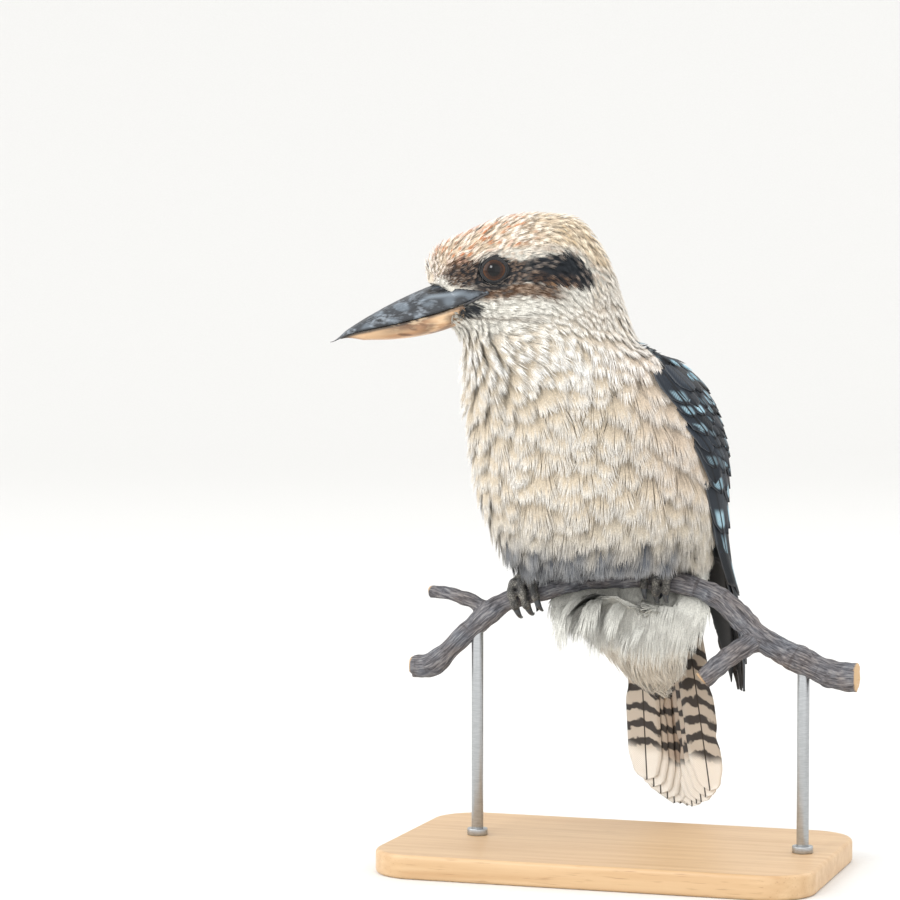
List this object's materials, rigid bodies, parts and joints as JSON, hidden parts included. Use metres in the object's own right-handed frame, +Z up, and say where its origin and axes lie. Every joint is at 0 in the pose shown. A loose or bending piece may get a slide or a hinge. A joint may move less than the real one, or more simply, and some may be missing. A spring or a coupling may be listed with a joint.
{
  "type": "laughing kookaburra",
  "caption": "Life-size laughing kookaburra with its head turned to one side, gripping a short length of branch that rods hold over a flat base.",
  "frame": {"origin": "middle of the bounding box's underside, on the surface that the stand's base stands on", "axes": "+Z up; the bird's trunk faces -Y and its left wing is towards +X, with the head turned about 37 degrees to its own right"},
  "size_m": [0.2416, 0.2276, 0.3278],
  "materials": {
    "plumage_head": "soft streaked feathers, cream with brown and rufous",
    "plumage_pale": "soft cream feathers with faint fawn scallops",
    "tail_feathers": "smooth vanes, rufous barred with dark brown, pale tips",
    "wing_feathers": "smooth vanes, slate brown with pale blue on the coverts",
    "horn_dark": "dark horn with a soft gloss and pale scuffs",
    "horn_pale": "bone-coloured horn with a soft gloss",
    "eye": "wet dark brown eye with a black pupil",
    "foot_skin": "olive-fawn scaled skin",
    "claw": "dark horn",
    "bark": "grey-brown bark with pale cut ends",
    "stand_wood": "plain oiled pale wood",
    "stand_steel": "plain brushed steel rod"
  },
  "bodies": {
    "root": {"head": "plumage_head", "neck": "plumage_pale", "trunk": "plumage_pale", "undertail": "plumage_pale", "tail": "tail_feathers", "bill_upper": "horn_dark", "bill_lower": "horn_pale", "eye_left": "eye", "eye_right": "eye", "wing_left": "wing_feathers", "wing_right": "wing_feathers", "leg_left": "foot_skin", "leg_right": "foot_skin", "claw_left_inner": "claw", "claw_left_middle": "claw", "claw_left_outer": "claw", "claw_left_hind": "claw", "claw_right_inner": "claw", "claw_right_middle": "claw", "claw_right_outer": "claw", "claw_right_hind": "claw", "perch": "bark", "stand_base": "stand_wood", "stand_rod_1": "stand_steel", "stand_rod_2": "stand_steel"}
  },
  "joints": []
}
